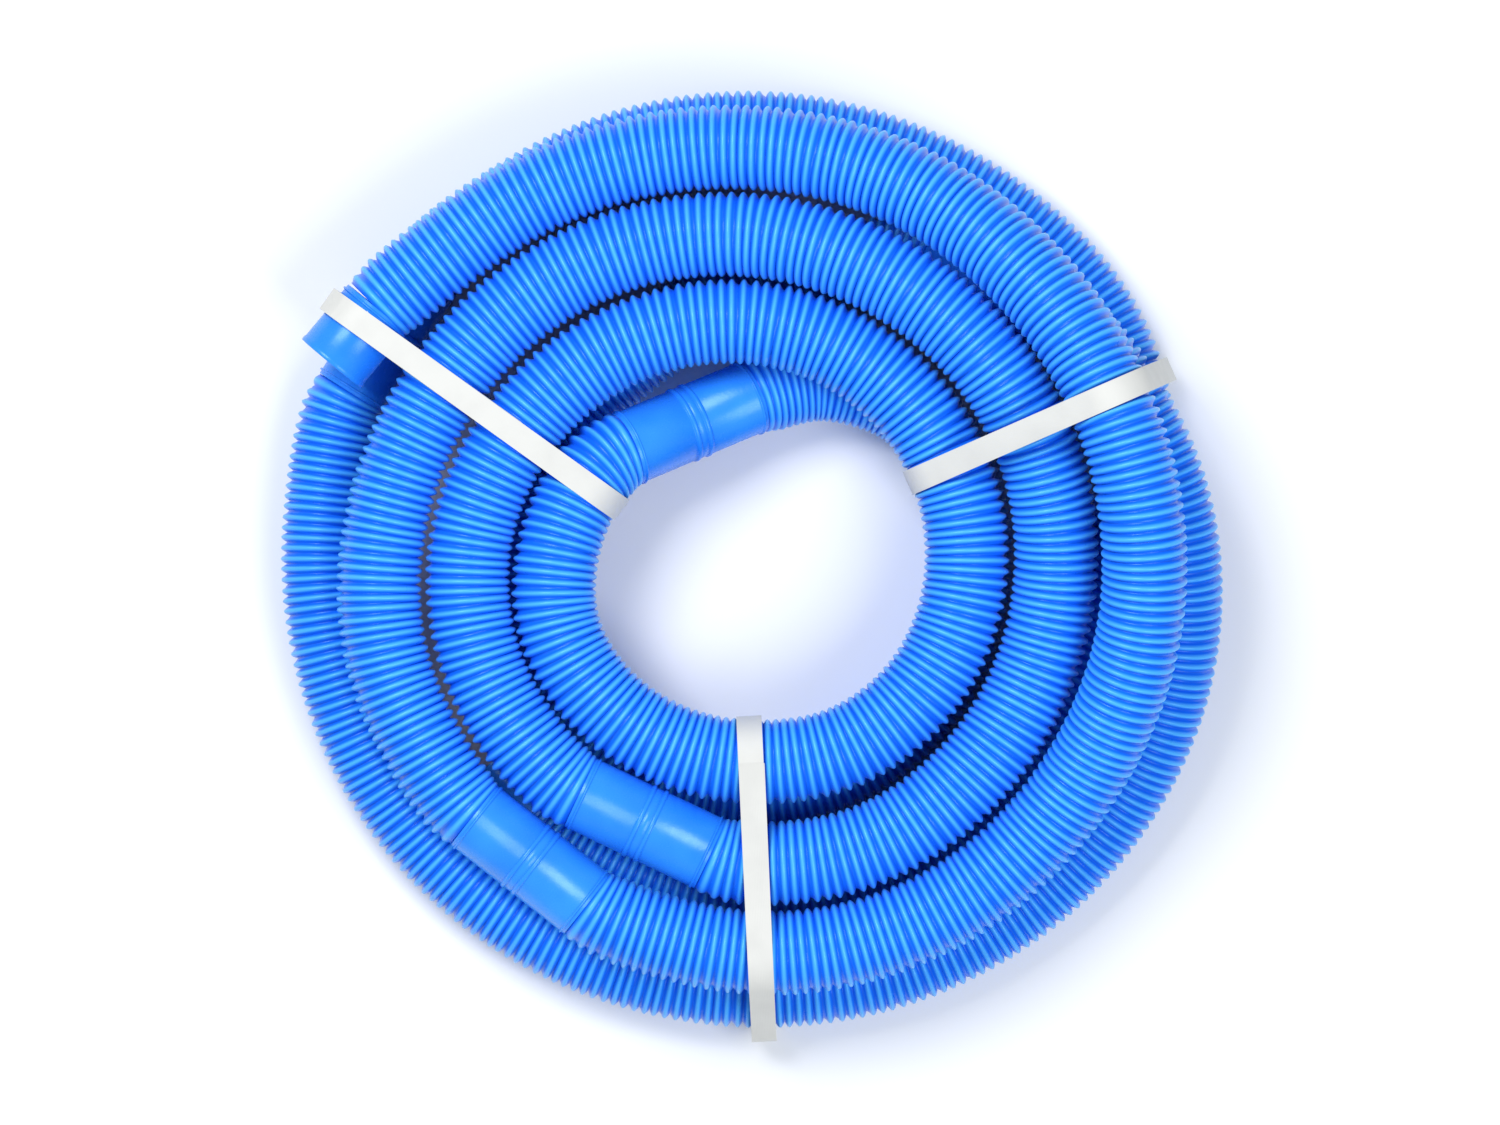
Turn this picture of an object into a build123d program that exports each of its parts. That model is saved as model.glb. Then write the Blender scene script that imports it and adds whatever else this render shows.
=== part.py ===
from build123d import *

import math
import os
from typing import NamedTuple

# Pool and spa vacuum hose, laid in a flat coil and held by three strapping bands.
# Millimetres, +Z up. The bands lie on Z = 0 and the origin is under the middle of the coil.

# ---------------------------------------------------------------- hose sizes
CREST_DIAMETER = 47.5  # over the ribs
WALL = 1.4  # mean plastic thickness of the ribbed wall, folds counted in
CUFF_DIAMETER = 42.0
BORE_DIAMETER = 38.0  # the standard pool connection
END_CUFF_LENGTH = 40.0
MIDDLE_CUFF_LENGTH = 80.0  # two end cuffs back to back, cut apart to shorten the hose
COLLAR_THICKNESS = 1.5  # flank of the last rib, between a cuff and the ribbed wall
BEAD_HEIGHT = 0.6  # the two beads that mark the cut
BEAD_WIDTH = 1.6
BEAD_SPREAD = 7.0

# ---------------------------------------------------------------- strapping bands
BAND_WIDTH = 14.0
BAND_THICKNESS = 0.7
BAND_GAP = 0.3  # between band and crests
# Each band's heading from the coil's middle, degrees, its sideways offset, mm, and how far it
# stands off the hose at its outer end, mm.
BAND_LIE = {
    "outer_left": (144.3, -21.5, 0.0),
    "right": (23.6, -2.3, 2.0),
    "front": (272.7, 5.9, 6.5),
}

# ---------------------------------------------------------------- how the coil lies
# Places along the hose are given by the angle wound so far, in degrees clockwise from +X.
# The upper layer winds inwards for three turns, and the lower layer winds outwards again.
COIL_CENTRE = Vector(1.05, 5.6, 0)
UPPER_CENTRE = Vector(-5.6, -7.2, 0)  # from the coil centre
LOWER_CENTRE = Vector(0, -2.0, 0)
CREST = CREST_DIAMETER / 2
LOWER_HEIGHT = BAND_THICKNESS + BAND_GAP + CREST
UPPER_HEIGHT = LOWER_HEIGHT + CREST_DIAMETER + 0.5

UPPER_START_ANGLE = -90.0
UPPER_START_RADIUS = 236.7
UPPER_PITCH = 49.6  # one turn to the next

LOWER_START_ANGLE = 1080.0
LOWER_START_RADIUS = 121.5
LOWER_GROWTH = 0.1  # mm per degree
RISE_OUT = (1312.0, 1458.0)  # where the lower layer swings out to the rim
RIM_RADIUS = 242.5
TUCK_IN = (1765.0, 1825.0)  # where the last turn ducks in under the one before
TUCK_RADIUS = 190.0

CROSSING_ANGLE = 1426.0  # the rim turn climbs over the last turn here
CROSSING_CLIMB = 52.5
CLIMB_BEFORE, CLIMB_AFTER = 73.0, 55.0
OUTER_TURN_LIFT = 55.5  # upper turns ride up over the crossing
LIFT_BEFORE, LIFT_AFTER = 80.0, 57.0
SECOND_TURN_LIFT = 22.0
SECOND_TURN_ANGLE = 318.0
SECOND_TURN_SPREAD = 58.0


class Sway(NamedTuple):
    """A place where a turn strays from the even spiral."""

    at: float  # angle wound
    by: float  # outwards, mm
    over: float  # half width, degrees


UPPER_SWAYS = (
    Sway(-98, -2.2, 20),
    Sway(-28, -7.2, 32),  # the outer turn leans in over the crossing
    Sway(66, 4.0, 30),
    Sway(126, -7.0, 16),  # first middle cuff lies straight
    Sway(168, 3.5, 22),
    Sway(300, -2.5, 32),  # the second turn leans in where the outer one comes down
    Sway(424, 4.5, 26),
    Sway(473, -8.2, 26),  # second middle cuff
    Sway(540, 3.3, 30),
    Sway(661, 0.6, 25),
    Sway(812, -6.4, 30),  # innermost turn sags against the second cuff
    Sway(890, 5.5, 26),
)
LOWER_SWAYS = (
    Sway(1042, 6.0, 28),  # just below the drop
    Sway(1312, -14.0, 36),  # the inner turn leans in under the third cuff
    Sway(1478, 5.0, 30),
    Sway(1545, -3.0, 20),  # drawn in by the front band
    Sway(1748, -3.2, 28),
)

# ---------------------------------------------------------------- where the cuffs lie
FIRST_CUFF_ANGLE = 126.0
SECOND_CUFF_ANGLE = 470.8
FOURTH_CUFF_ANGLE = 1392.0
FIFTH_CUFF_ANGLE = 1652.0

UPPER_END_MOUTH = Vector(-234.2, 107.2, UPPER_HEIGHT)
UPPER_END_HEADING = 50.3  # from the mouth into the hose
FIRST_STATION = -134.0

DROP_START_ANGLE = 893.0  # the innermost turn starts down to the lower layer
DROP_SLOPE = 17.5
THIRD_CUFF_CENTRE = Vector(-35.4, 74.8, 48.4)
THIRD_CUFF_HEADING = 23.2
DROP_FOOT = Vector(49.0, 100.6, 26.2)
DROP_FOOT_HEADING = -6.0
DROP_FOOT_SLOPE = 6.0
LOWER_FIRST_STATION = 1033.0

LOWER_END_ANGLE = 1936.0
LOWER_END_RADIUS = 187.0
LOWER_END_TURN = 4.0  # turned inwards from the round, so that its mouth is clear

STATION_STEP = 26.0  # degrees of coil between the points that shape the line


# ---------------------------------------------------------------- the line of the coil
def sway(sways, angle):
    """How far all the sways together push a turn outwards at this angle."""
    return sum(s.by * math.exp(-(((angle - s.at) / s.over) ** 2)) for s in sways)


def ease(angle, start, end):
    """Runs smoothly from 0 at start to 1 at end."""
    share = min(max((angle - start) / (end - start), 0.0), 1.0)
    return (1 - math.cos(math.pi * share)) / 2


def hump(angle, top, before, after):
    """A smooth hill of height 1 at top."""
    share = (angle - top) / (before if angle < top else after)
    return math.cos(math.pi * share / 2) ** 2 if abs(share) < 1 else 0.0


def around(centre, radius, angle, height):
    """The point at a wound angle and radius about a layer's own centre."""
    turn = math.radians(-angle)
    return centre + Vector(radius * math.cos(turn), radius * math.sin(turn), height)


def upper_line(angle):
    """The hose's centre line in the upper layer."""
    turns = (angle - UPPER_START_ANGLE) / 360
    radius = UPPER_START_RADIUS - UPPER_PITCH * turns + sway(UPPER_SWAYS, angle)
    lift = OUTER_TURN_LIFT * hump(angle, CROSSING_ANGLE - 4 * 360, LIFT_BEFORE, LIFT_AFTER)
    lift += SECOND_TURN_LIFT * hump(angle, SECOND_TURN_ANGLE, SECOND_TURN_SPREAD, SECOND_TURN_SPREAD)
    return around(UPPER_CENTRE, radius, angle, UPPER_HEIGHT + lift)


def lower_line(angle):
    """The hose's centre line in the lower layer."""
    inner = LOWER_START_RADIUS + LOWER_GROWTH * (min(angle, RISE_OUT[0]) - LOWER_START_ANGLE)
    radius = inner + (RIM_RADIUS - inner) * ease(angle, *RISE_OUT)
    radius += (TUCK_RADIUS - RIM_RADIUS) * ease(angle, *TUCK_IN)
    radius += sway(LOWER_SWAYS, angle)
    climb = CROSSING_CLIMB * hump(angle, CROSSING_ANGLE, CLIMB_BEFORE, CLIMB_AFTER)
    return around(LOWER_CENTRE, radius, angle, LOWER_HEIGHT + climb)


def heading_vector(heading, slope_down=0.0):
    """A unit vector from a compass heading in plan and a downward slope, in degrees."""
    flat = math.cos(math.radians(slope_down))
    turn = math.radians(heading)
    return Vector(flat * math.cos(turn), flat * math.sin(turn), -math.sin(math.radians(slope_down)))


class Station(NamedTuple):
    """A point that the centre line passes, and the way it heads there."""

    point: Vector
    heading: Vector


def station(line, angle):
    """The station of a layer's line at a wound angle."""
    step = 0.25
    return Station(line(angle), (line(angle + step) - line(angle - step)).normalized())


def stations(line, start, end):
    """Evenly spaced stations strictly between two wound angles."""
    count = max(2, round((end - start) / STATION_STEP))
    return [station(line, start + (end - start) * k / count) for k in range(1, count)]


class Cuff(NamedTuple):
    """A straight cuff: its middle, its heading and its length."""

    centre: Vector
    heading: Vector
    length: float

    def start(self):
        return Station(self.centre - self.heading * (self.length / 2), self.heading)

    def end(self):
        return Station(self.centre + self.heading * (self.length / 2), self.heading)

    def angle(self, place, centre, near):
        """The wound angle of one end of the cuff, on the turn that is nearest to near."""
        out = place.point - centre
        angle = -math.degrees(math.atan2(out.Y, out.X))
        return angle + 360 * round((near - angle) / 360)


def cuff_on(line, angle):
    """A middle cuff lying on a layer's line."""
    place = station(line, angle)
    return Cuff(place.point, place.heading, MIDDLE_CUFF_LENGTH)


def end_cuffs():
    """The two end cuffs, upper first, both headed along the hose."""
    heading = heading_vector(UPPER_END_HEADING)
    upper = Cuff(UPPER_END_MOUTH + heading * (END_CUFF_LENGTH / 2), heading, END_CUFF_LENGTH)
    round_heading = -LOWER_END_ANGLE - 90
    lower = Cuff(
        around(LOWER_CENTRE, LOWER_END_RADIUS, LOWER_END_ANGLE, LOWER_HEIGHT),
        heading_vector(round_heading - LOWER_END_TURN),
        END_CUFF_LENGTH,
    )
    return upper, lower


def lay_out():
    """Lays the cuffs, and the stations of the ribbed section between each two."""
    upper_end, lower_end = end_cuffs()
    first = cuff_on(upper_line, FIRST_CUFF_ANGLE)
    second = cuff_on(upper_line, SECOND_CUFF_ANGLE)
    third = Cuff(THIRD_CUFF_CENTRE, heading_vector(THIRD_CUFF_HEADING, DROP_SLOPE), MIDDLE_CUFF_LENGTH)
    fourth = cuff_on(lower_line, FOURTH_CUFF_ANGLE)
    fifth = cuff_on(lower_line, FIFTH_CUFF_ANGLE)
    cuffs = [upper_end, first, second, third, fourth, fifth, lower_end]

    def between(line, centre, cuff_a, near_a, cuff_b, near_b):
        start = cuff_a.angle(cuff_a.end(), centre, near_a)
        end = cuff_b.angle(cuff_b.start(), centre, near_b)
        return stations(line, start, end)

    runs = [[] for _ in range(len(cuffs) - 1)]
    first_start = first.angle(first.start(), UPPER_CENTRE, FIRST_CUFF_ANGLE)
    runs[0] = [station(upper_line, FIRST_STATION)] + stations(upper_line, FIRST_STATION, first_start)
    runs[1] = between(upper_line, UPPER_CENTRE, first, FIRST_CUFF_ANGLE, second, SECOND_CUFF_ANGLE)
    second_end = second.angle(second.end(), UPPER_CENTRE, SECOND_CUFF_ANGLE)
    runs[2] = stations(upper_line, second_end, DROP_START_ANGLE) + [station(upper_line, DROP_START_ANGLE)]
    fourth_start = fourth.angle(fourth.start(), LOWER_CENTRE, FOURTH_CUFF_ANGLE)
    runs[3] = [
        Station(DROP_FOOT, heading_vector(DROP_FOOT_HEADING, DROP_FOOT_SLOPE)),
        station(lower_line, LOWER_FIRST_STATION),
    ] + stations(lower_line, LOWER_FIRST_STATION, fourth_start)
    runs[4] = between(lower_line, LOWER_CENTRE, fourth, FOURTH_CUFF_ANGLE, fifth, FIFTH_CUFF_ANGLE)
    runs[5] = between(lower_line, LOWER_CENTRE, fifth, FIFTH_CUFF_ANGLE, lower_end, LOWER_END_ANGLE)
    paths = [
        [cuffs[k].end()] + run + [cuffs[k + 1].start()]
        for k, run in enumerate(runs)
    ]
    return cuffs, paths


# ---------------------------------------------------------------- tangent arcs
def joint_point(a, b):
    """Where two tangent arcs meet that lead from one station to the next."""
    chord = b.point - a.point
    both = a.heading + b.heading
    spread = 2 * (1 - a.heading.dot(b.heading))
    along = chord.dot(both)
    if spread < 1e-9:
        reach = chord.dot(chord) / (4 * chord.dot(a.heading))
    else:
        reach = (math.sqrt(along**2 + spread * chord.dot(chord)) - along) / spread
    return (a.point + b.point + (a.heading - b.heading) * reach) * 0.5


def arc_or_line(start, heading, end):
    """The arc from start, tangent to heading, that ends at end, or a line if it is straight."""
    chord = end - start
    off_line = chord.normalized().cross(heading).length
    if off_line < 1e-6:
        return Edge.make_line(start, end), math.inf
    return Edge.make_tangent_arc(start, heading, end), chord.length / (2 * off_line)


def tangent_path(places):
    """A wire of tangent arcs through the stations, and its smallest radius."""
    edges, radii = [], []
    for a, b in zip(places, places[1:]):
        middle = joint_point(a, b)
        first, first_radius = arc_or_line(a.point, a.heading, middle)
        second, second_radius = arc_or_line(middle, first % 1, b.point)
        edges += [first, second]
        radii += [first_radius, second_radius]
    return Wire(edges), min(radii)


# ---------------------------------------------------------------- pieces
def ribbed_section(path):
    """The ribbed wall between two cuffs, as a plain tube over its crests."""
    outline = Plane(origin=path @ 0, z_dir=path % 0) * (Circle(CREST) - Circle(CREST - WALL))
    return sweep(outline, path=path)


def revolved_cuff(cuff, collar_at_start, collar_at_end):
    """A cuff with its bore, its collars and, in a middle cuff, the two beads at the cut."""
    bore, wall = BORE_DIAMETER / 2, CUFF_DIAMETER / 2
    half = cuff.length / 2
    profile = Pos((bore + wall) / 2, 0) * Rectangle(wall - bore, cuff.length)
    collar = Rectangle(CREST - bore, COLLAR_THICKNESS)
    if collar_at_start:
        profile += Pos((bore + CREST) / 2, -half + COLLAR_THICKNESS / 2) * collar
    if collar_at_end:
        profile += Pos((bore + CREST) / 2, half - COLLAR_THICKNESS / 2) * collar
    if collar_at_start and collar_at_end:
        for side in (-1, 1):
            bead = Rectangle(BEAD_HEIGHT * 2, BEAD_WIDTH)
            profile += Pos(wall, side * BEAD_SPREAD / 2) * bead
    turned = revolve(Plane.XZ * profile, axis=Axis.Z)
    return Plane(origin=cuff.centre, z_dir=cuff.heading) * turned


class Crossing(NamedTuple):
    """One end of the oval that the hose's outline makes in a plane across a band."""

    along: float
    height: float


def crossings(cuffs, paths, out, side, offset):
    """Where the hose passes through an upright plane, with its outline there as two circles."""
    found = []
    for line in paths + [Edge.make_line(c.start().point, c.end().point) for c in cuffs]:
        steps = max(8, int(line.length / 4))
        points = [line @ (k / steps) for k in range(steps + 1)]
        for a, b in zip(points, points[1:]):
            gap_a, gap_b = a.dot(side) - offset, b.dot(side) - offset
            if gap_a * gap_b > 0 or gap_a == gap_b or a.dot(out) < 0:
                continue
            here = a + (b - a) * (gap_a / (gap_a - gap_b))
            run = (b - a).normalized()
            skew = abs(run.dot(side))
            lean = run - side * run.dot(side)
            stretch = CREST / skew - CREST
            shift = lean.normalized() * stretch if lean.length > 1e-6 else Vector(0, 0, 0)
            for sign in (-1, 1):
                oval = here + shift * sign
                found.append(Crossing(oval.dot(out), oval.Z))
    return found


def band(cuffs, paths, lie):
    """A flat strap drawn round everything that crosses its line."""
    heading, offset, slack = lie
    out = heading_vector(heading)
    side = Vector(out.Y, -out.X, 0)
    plane = Plane(origin=side * offset, x_dir=out, z_dir=out.cross(Vector(0, 0, 1)))
    places = []
    for share in (-0.5, -0.25, 0, 0.25, 0.5):
        places += crossings(cuffs, paths, out, side, offset + share * BAND_WIDTH)
    outermost = max(places)
    places.append(Crossing(outermost.along + slack, outermost.height))

    def hull(margin):
        rings = [Pos(p.along, p.height) * Circle(CREST + margin) for p in places]
        return make_hull([edge for ring in rings for edge in ring.edges()])

    ring = hull(BAND_GAP + BAND_THICKNESS) - hull(BAND_GAP)
    return extrude(plane * ring, BAND_WIDTH / 2, both=True)


# ---------------------------------------------------------------- build and write
def build():
    """Makes every node, by name."""
    cuffs, places = lay_out()
    nodes = {}
    paths = []
    for number, run in enumerate(places, 1):
        path, tightest = tangent_path(run)
        paths.append(path)
        section = ribbed_section(path)
        area = math.pi * (CREST**2 - (CREST - WALL) ** 2)
        print(
            f"hose_section_{number}: {path.length:.1f} mm, tightest radius {tightest:.1f} mm, "
            f"volume over section times length {section.volume / (area * path.length):.4f}"
        )
        nodes[f"hose_section_{number}"] = section
    last = len(cuffs) - 1
    nodes["end_cuff_upper"] = revolved_cuff(cuffs[0], False, True)
    for number in range(1, last):
        nodes[f"middle_cuff_{number}"] = revolved_cuff(cuffs[number], True, True)
    nodes["end_cuff_lower"] = revolved_cuff(cuffs[last], True, False)
    for name, lie in BAND_LIE.items():
        nodes[f"band_{name}"] = band(cuffs, paths, lie)
    total = sum(path.length for path in paths) + sum(cuff.length for cuff in cuffs)
    print(f"whole hose: {total:.0f} mm")
    return {name: Pos(*COIL_CENTRE) * solid for name, solid in nodes.items()}


os.makedirs("parts", exist_ok=True)
for node_name, node_solid in build().items():
    export_step(node_solid, f"parts/{node_name}.step")
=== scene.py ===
import logging
import math
from dataclasses import dataclass, field
from enum import Enum
from typing import Any

import bpy
import numpy as np
from mathutils import Matrix, Vector


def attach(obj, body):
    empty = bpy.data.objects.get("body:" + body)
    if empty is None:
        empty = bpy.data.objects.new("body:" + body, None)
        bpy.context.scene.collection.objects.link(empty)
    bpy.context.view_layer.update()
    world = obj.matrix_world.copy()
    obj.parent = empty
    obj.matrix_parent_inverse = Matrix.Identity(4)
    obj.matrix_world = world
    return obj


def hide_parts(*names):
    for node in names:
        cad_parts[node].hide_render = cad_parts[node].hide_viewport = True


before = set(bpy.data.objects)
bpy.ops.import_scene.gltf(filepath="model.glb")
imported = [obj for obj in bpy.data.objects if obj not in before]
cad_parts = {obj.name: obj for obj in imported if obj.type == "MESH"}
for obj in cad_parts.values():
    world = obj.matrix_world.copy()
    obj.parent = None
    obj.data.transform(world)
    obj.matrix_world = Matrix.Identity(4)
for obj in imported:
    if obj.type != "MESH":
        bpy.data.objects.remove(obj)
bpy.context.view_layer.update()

LOG = logging.getLogger("vacuum_hose")

MM = 0.001
BODY = "root"


# ---------------------------------------------------------------- shader sums
class Value:
    """A number that varies over a surface, written as an expression in Python."""

    def __init__(self, recipe: "Recipe", socket: Any) -> None:
        """Wraps a socket.

        Args:
            recipe: The material that the socket is in.
            socket: The output socket that carries the number.
        """
        self.recipe = recipe
        self.socket = socket

    def _sum(self, operation: str, first: Any, second: Any) -> "Value":
        """Adds the Math node of one operation.

        Args:
            operation: Blender's name for it.
            first: The left side, a Value or a number.
            second: The right side, a Value or a number.

        Returns:
            The result.
        """
        node = self.recipe.node("ShaderNodeMath", {"operation": operation}, {0: first, 1: second})
        return Value(self.recipe, node.outputs[0])

    def __add__(self, other: Any) -> "Value":
        """self + other."""
        return self._sum("ADD", self, other)

    __radd__ = __add__

    def __sub__(self, other: Any) -> "Value":
        """self - other."""
        return self._sum("SUBTRACT", self, other)

    def __rsub__(self, other: Any) -> "Value":
        """other - self."""
        return self._sum("SUBTRACT", other, self)

    def __mul__(self, other: Any) -> "Value":
        """self * other."""
        return self._sum("MULTIPLY", self, other)

    __rmul__ = __mul__

    def clamped(self) -> "Value":
        """The value held between 0 and 1."""
        return self._sum("MAXIMUM", self._sum("MINIMUM", self, 1.0), 0.0)

    def sine(self) -> "Value":
        """The sine of the value, in radians."""
        return self._sum("SINE", self, 0.0)


class Recipe:
    """One material's nodes, with its shader."""

    def __init__(self, name: str) -> None:
        """Starts an empty material.

        Args:
            name: The material's name.
        """
        self.material = bpy.data.materials.new(name)
        self.material.use_nodes = True
        self.tree = self.material.node_tree
        self.tree.nodes.clear()
        self.shader = self.node("ShaderNodeBsdfPrincipled")
        self.node("ShaderNodeOutputMaterial", inputs={"Surface": self.shader.outputs[0]})

    def node(
        self,
        kind: str,
        settings: dict[str, Any] | None = None,
        inputs: dict[Any, Any] | None = None,
    ) -> bpy.types.Node:
        """Adds one node.

        Args:
            kind: Blender's type name.
            settings: The node's own settings, which come first.
            inputs: The value, or the socket or Value to link, for each named input.

        Returns:
            The node.
        """
        node = self.tree.nodes.new(kind)
        for key, value in (settings or {}).items():
            setattr(node, key, value)
        for key, value in (inputs or {}).items():
            if isinstance(value, Value):
                value = value.socket
            if isinstance(value, bpy.types.NodeSocket):
                self.tree.links.new(value, node.inputs[key])
            else:
                node.inputs[key].default_value = value
        return node

    def attribute(self, name: str) -> Value:
        """A number stored on the mesh's points."""
        node = self.node("ShaderNodeAttribute", {"attribute_name": name})
        return Value(self, node.outputs["Fac"])

    def noise(self, scale: float, detail: float = 2.0) -> Value:
        """Soft noise on the object's own coordinates.

        Args:
            scale: How many spots there are to a metre.
            detail: How many finer layers it has.

        Returns:
            The noise, about 0.5 on average.
        """
        place = self.node("ShaderNodeTexCoord").outputs["Object"]
        noise = self.node("ShaderNodeTexNoise", inputs={"Vector": place, "Scale": scale, "Detail": detail})
        return Value(self, noise.outputs[0])

    def blend(self, share: Any, first: Any, second: Any) -> Any:
        """A colour between two colours.

        Args:
            share: How much of the second there is.
            first: The colour at 0.
            second: The colour at 1.

        Returns:
            The colour's socket.
        """
        mix = self.node("ShaderNodeMix", {"data_type": "RGBA"}, {0: share, 6: first, 7: second})
        return mix.outputs[2]

    def bump(self, height: Value, depth: float, strength: float = 1.0) -> Any:
        """A normal from a height.

        Args:
            height: The height, from 0 to 1.
            depth: What a height of 1 is, in metres.
            strength: How much of it shows.

        Returns:
            The normal's socket.
        """
        node = self.node(
            "ShaderNodeBump", inputs={"Strength": strength, "Distance": depth, "Height": height}
        )
        return node.outputs[0]

    def set(self, **values: Any) -> None:
        """Sets the shader's sockets, by their names with a line for each space."""
        for name, value in values.items():
            socket = self.shader.inputs[name.replace("_", " ")]
            if isinstance(value, Value):
                value = value.socket
            if isinstance(value, bpy.types.NodeSocket):
                self.tree.links.new(value, socket)
            else:
                socket.default_value = value


Colour = tuple[float, float, float, float]


# ---------------------------------------------------------------- finishes
@dataclass(frozen=True)
class Grain:
    """Fine unevenness of a surface: spots to a metre, finer layers, depth in metres, and how much shows."""

    scale: float
    detail: float
    depth: float
    strength: float = 0.5

    def normal(self, recipe: Recipe) -> Any:
        """The normal's socket for a surface with this grain."""
        return recipe.bump(recipe.noise(self.scale, self.detail), self.depth, self.strength)


@dataclass(frozen=True)
class Gloss:
    """A roughness that wanders: its middle, how far it wanders and how many spots there are to a metre."""

    middle: float
    spread: float
    scale: float

    def roughness(self, recipe: Recipe) -> Value:
        """The roughness over the surface."""
        return self.middle + (recipe.noise(self.scale) - 0.5) * self.spread


@dataclass(frozen=True)
class BlueHosePlastic:
    """Thin blown polyethylene, with painted light: a painted highlight on each rib's crest and painted
    shade between the ribs.
    """

    # groove is painted shade between the ribs, flank the plastic's own blue, crest a painted highlight
    groove: Colour = (0.004, 0.12, 0.82, 1)
    flank: Colour = (0.012, 0.22, 0.94, 1)
    crest: Colour = (0.07, 0.43, 1.0, 1)
    flank_gain: float = 1.6
    crest_gain: float = 2.2
    crest_start: float = 1.35
    # The noise below spreads the painted crest highlight over random spots; its strength and its spots to a
    # metre.
    highlight_noise: float = 0.3
    highlight_noise_scale: float = 45.0
    gloss: Gloss = Gloss(0.3, 0.12, 160.0)
    grain: Grain = Grain(900.0, 3.0, 0.12 * MM)
    glint: Colour = (0.5, 0.85, 1.0, 1.0)
    sheen: Colour = (0.4, 0.8, 1.0, 1.0)
    sheen_weight: float = 0.15
    sheen_roughness: float = 0.25

    def make(self) -> bpy.types.Material:
        """Makes the material for the ribbed sections."""
        recipe = Recipe("blue_hose_plastic")
        rise = recipe.attribute("rise")
        # Painted shade: the colour darkens from flank to groove as the rise falls towards the groove.
        body = recipe.blend((rise * self.flank_gain).clamped(), self.groove, self.flank)
        # Painted highlight: the crest colour where the rise is high, spread a little further in random
        # spots by noise.
        highlight_noise = recipe.noise(self.highlight_noise_scale, 3.0) * self.highlight_noise
        painted_crest_highlight = highlight_noise + (rise * self.crest_gain - self.crest_start)
        recipe.set(
            Base_Color=recipe.blend(painted_crest_highlight.clamped(), body, self.crest),
            Roughness=self.gloss.roughness(recipe),
            Normal=self.grain.normal(recipe),
            Specular_Tint=self.glint,
            Sheen_Weight=self.sheen_weight,
            Sheen_Roughness=self.sheen_roughness,
            Sheen_Tint=self.sheen,
        )
        return recipe.material


@dataclass(frozen=True)
class BlueCuffPlastic:
    """The same plastic, thicker and smooth, a little cloudy where its wall is thin."""

    thick: Colour = (0.012, 0.2, 0.9, 1)
    thin: Colour = (0.035, 0.31, 1.0, 1)
    cloud_scale: float = 28.0
    cloud_gain: float = 1.6
    cloud_start: float = 0.3
    gloss: Gloss = Gloss(0.27, 0.12, 220.0)
    grain: Grain = Grain(420.0, 3.0, 0.1 * MM)
    glint: Colour = (0.6, 0.88, 1.0, 1.0)

    def make(self) -> bpy.types.Material:
        """Makes the material for the cuffs."""
        recipe = Recipe("blue_cuff_plastic")
        cloud = recipe.noise(self.cloud_scale) * self.cloud_gain - self.cloud_start
        recipe.set(
            Base_Color=recipe.blend(cloud.clamped(), self.thick, self.thin),
            Roughness=self.gloss.roughness(recipe),
            Normal=self.grain.normal(recipe),
            Specular_Tint=self.glint,
        )
        return recipe.material


@dataclass(frozen=True)
class WhiteStrapping:
    """Drawn polypropylene strap: off-white, with fine lines along its length."""

    pale: Colour = (0.67, 0.67, 0.645, 1)
    grey: Colour = (0.6, 0.6, 0.58, 1)
    cloud_scale: float = 60.0
    cloud_gain: float = 1.5
    cloud_start: float = 0.6
    roughness: float = 0.58
    roughness_spread: float = 0.15
    line_pitch: float = 0.9 * MM
    line_share: float = 0.7
    grit_scale: float = 1500.0
    relief: float = 0.05 * MM
    relief_strength: float = 0.6

    def make(self) -> bpy.types.Material:
        """Makes the material for the bands."""
        recipe = Recipe("white_strapping")
        across = recipe.attribute("across")
        lines = (across * (2 * math.pi / self.line_pitch)).sine() * 0.5 + 0.5
        grit = recipe.noise(self.grit_scale) * (1 - self.line_share)
        cloud = recipe.noise(self.cloud_scale, 3.0)
        tint = (cloud * self.cloud_gain - self.cloud_start).clamped()
        recipe.set(
            Base_Color=recipe.blend(tint, self.pale, self.grey),
            Roughness=self.roughness + (cloud - 0.5) * self.roughness_spread,
            Normal=recipe.bump(lines * self.line_share + grit, self.relief, self.relief_strength),
        )
        return recipe.material


@dataclass(frozen=True)
class PaleFloor:
    """A plain pale floor."""

    colour: Colour = (0.9, 0.91, 0.92, 1)
    roughness: float = 0.9

    def make(self) -> bpy.types.Material:
        """Makes the floor's material."""
        recipe = Recipe("pale_floor")
        recipe.set(Base_Color=self.colour, Roughness=self.roughness)
        return recipe.material


# ---------------------------------------------------------------- how the hose lies
@dataclass(frozen=True)
class Sway:
    """A place where a turn strays from the even spiral.

    Angles are degrees wound, and the distance is outwards, in millimetres.
    """

    at: float
    by: float
    over: float

    def push(self, angle: float) -> float:
        """How far it pushes a turn outwards at an angle."""
        return self.by * math.exp(-(((angle - self.at) / self.over) ** 2))


def ease(angle: float, start: float, end: float) -> float:
    """Runs smoothly from 0 at start to 1 at end."""
    share = min(max((angle - start) / (end - start), 0.0), 1.0)
    return (1 - math.cos(math.pi * share)) / 2


@dataclass(frozen=True)
class Hump:
    """A smooth hill where one turn climbs over another, in degrees wound and millimetres."""

    top: float
    rise: float
    before: float
    after: float

    def height(self, angle: float) -> float:
        """Its height at an angle."""
        share = (angle - self.top) / (self.before if angle < self.top else self.after)
        return self.rise * math.cos(math.pi * share / 2) ** 2 if abs(share) < 1 else 0.0


@dataclass(frozen=True)
class Spot:
    """A point of the hose's line and the way that the hose heads there."""

    point: Vector
    heading: Vector


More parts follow.
